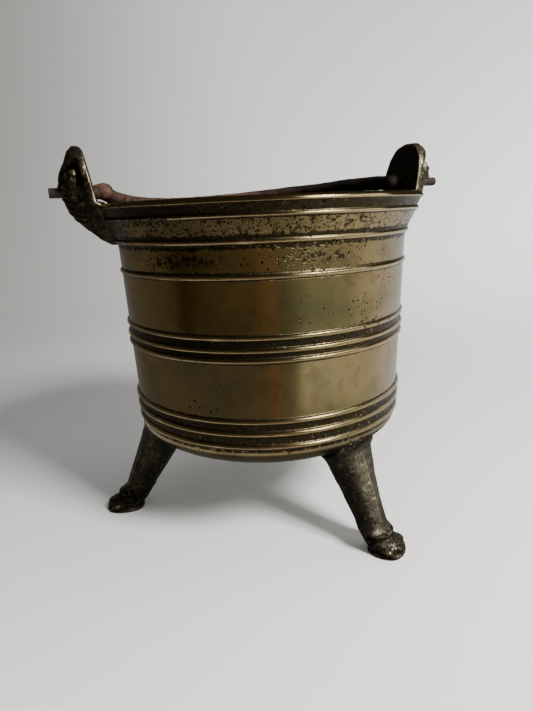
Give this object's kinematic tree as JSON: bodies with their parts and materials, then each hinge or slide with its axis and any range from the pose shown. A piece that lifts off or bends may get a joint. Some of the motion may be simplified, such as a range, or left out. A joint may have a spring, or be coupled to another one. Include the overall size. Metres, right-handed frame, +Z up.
{
  "type": "tripod cauldron",
  "caption": "Small cast bronze cauldron on splayed paw feet, with turned mouldings, bust-shaped lugs at the rim and a hinged iron bail handle.",
  "frame": {"origin": "on the surface that the feet stand on, under the middle of the overall box", "axes": "+Z up, +X towards the right-hand lug along the bail's hinge line, +Y towards the rear, where the bail lies on the rim"},
  "size_m": [0.2141, 0.1734, 0.2016],
  "materials": {
    "bronze": "aged cast bronze, olive-gold to dark brown, worn bright on the edges, black pits and dirt in the grooves",
    "iron": "wrought iron with dark reddish-brown rust"
  },
  "bodies": {
    "pot": {"cauldron": "bronze"},
    "bail": {"bail_handle": "iron"}
  },
  "joints": [
    {"name": "bail_hinge", "type": "hinge", "parent": "pot", "child": "bail", "pos_m": [0, 0.00352, 0.1799], "axis": [1, 0, 0], "range_deg": [0, 182]}
  ]
}
